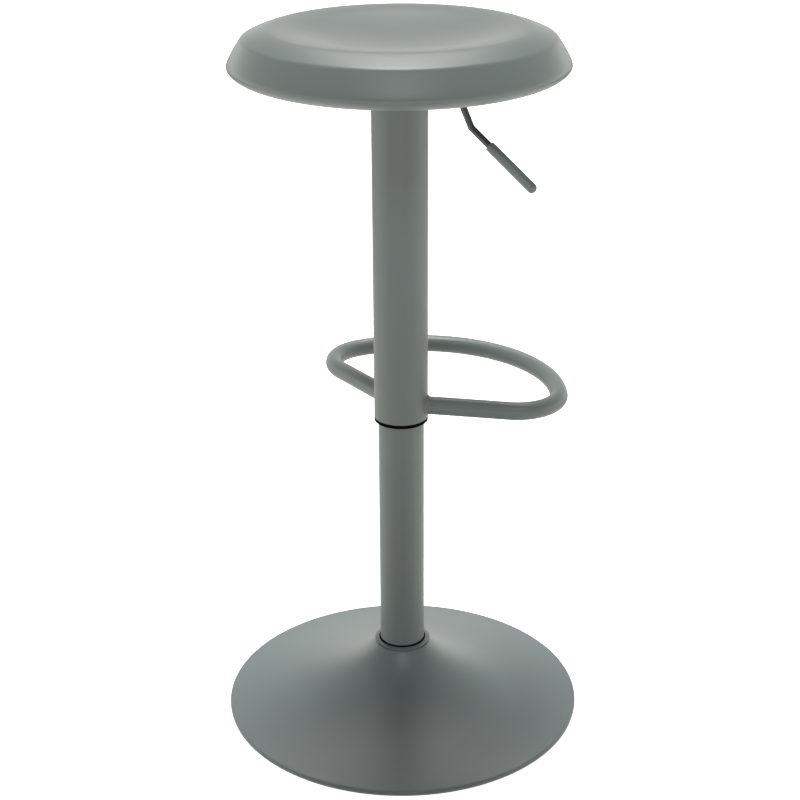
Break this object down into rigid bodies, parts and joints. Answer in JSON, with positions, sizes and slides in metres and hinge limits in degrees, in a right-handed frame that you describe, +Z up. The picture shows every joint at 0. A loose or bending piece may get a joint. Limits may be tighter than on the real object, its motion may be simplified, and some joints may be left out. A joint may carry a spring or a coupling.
{
  "type": "bar stool",
  "caption": "Height-adjustable swivel bar stool: round dished seat, telescopic gas-lift column with a welded loop footrest and a lift lever, on a flared trumpet base.",
  "frame": {"origin": "centre of the round base on the floor, on the column's axis", "axes": "+Z up along the column; the footrest faces -Y, the front; the lift lever points to -X"},
  "size_m": [0.4092, 0.4092, 0.794],
  "materials": {
    "seat_paint": "matte grey powder coat, smooth",
    "column_paint": "matte grey powder coat, fine texture",
    "base_paint": "matte grey powder coat",
    "ring_plastic": "pale grey moulded plastic",
    "bush_plastic": "black moulded plastic",
    "black_rubber": "matt black rubber",
    "lever_steel": "dark grey coated wire",
    "grip_plastic": "dark grey moulded grip, slightly rough",
    "mechanism_paint": "black electrophoretic paint",
    "bare_steel": "oiled mill finish",
    "zinc_steel": "bright zinc plate",
    "bearing_steel": "ground and polished",
    "rod_chrome": "hard chrome",
    "cylinder_paint": "satin black paint",
    "spring_alloy": "turned, as machined"
  },
  "bodies": {
    "base": {"floor_ring": "ring_plastic", "base_cover": "base_paint", "ballast_plate": "bare_steel", "column_foot": "bare_steel", "foot_screws": "zinc_steel", "column_tube": "column_paint", "guide_bush": "bush_plastic", "collar_ring": "base_paint", "collar_seal": "black_rubber", "bearing_race_lower": "bearing_steel"},
    "rod": {"piston_rod": "rod_chrome", "rod_clip": "zinc_steel", "bump_rubber": "black_rubber", "piston": "spring_alloy", "piston_seal": "black_rubber", "bearing_race_upper": "bearing_steel"},
    "bearing_cage": {"ball_cage": "bearing_steel", "bearing_balls": "bearing_steel"},
    "seat_lift": {"gas_cylinder": "cylinder_paint", "cylinder_gland": "spring_alloy", "gland_seal": "black_rubber", "inner_tube": "bare_steel", "valve_body": "spring_alloy", "sleeve_tube": "column_paint", "sleeve_ring": "bush_plastic", "sleeve_bush": "bush_plastic", "footrest": "column_paint", "seat_shell": "seat_paint", "mount_ring": "mechanism_paint", "weld_nuts": "zinc_steel", "plate_screws": "zinc_steel", "plate_washers": "zinc_steel", "seat_plate": "mechanism_paint", "taper_hub": "bare_steel", "lever_bracket": "mechanism_paint", "lever_pivot_pin": "zinc_steel"},
    "lever": {"lever_rod": "lever_steel", "lever_grip": "grip_plastic"},
    "release": {"release_pin": "zinc_steel"}
  },
  "joints": [
    {"name": "swivel", "type": "hinge", "parent": "base", "child": "rod", "pos_m": [0, 0, 0], "axis": [0, 0, 1], "continuous": true},
    {"name": "bearing_roll", "type": "hinge", "parent": "base", "child": "bearing_cage", "pos_m": [0, 0, 0], "axis": [0, 0, 1], "continuous": true},
    {"name": "lift_slide", "type": "slide", "parent": "rod", "child": "seat_lift", "axis": [0, 0, 1], "range_m": [-0.21, 0]},
    {"name": "lever_pull", "type": "hinge", "parent": "seat_lift", "child": "lever", "pos_m": [-0.027, 0, 0.752], "axis": [0, 1, 0], "range_deg": [0, 7.5], "stiffness_Nm_per_rad": 0.8, "springref_deg": -5.73},
    {"name": "release_push", "type": "slide", "parent": "seat_lift", "child": "release", "axis": [0, 0, -1], "range_m": [0, 0.0036]}
  ],
  "couplings": [
    {"joint": "bearing_roll", "follows": "swivel", "ratio": 0.5},
    {"joint": "release_push", "follows": "lever_pull", "m_per_rad": 0.027}
  ]
}
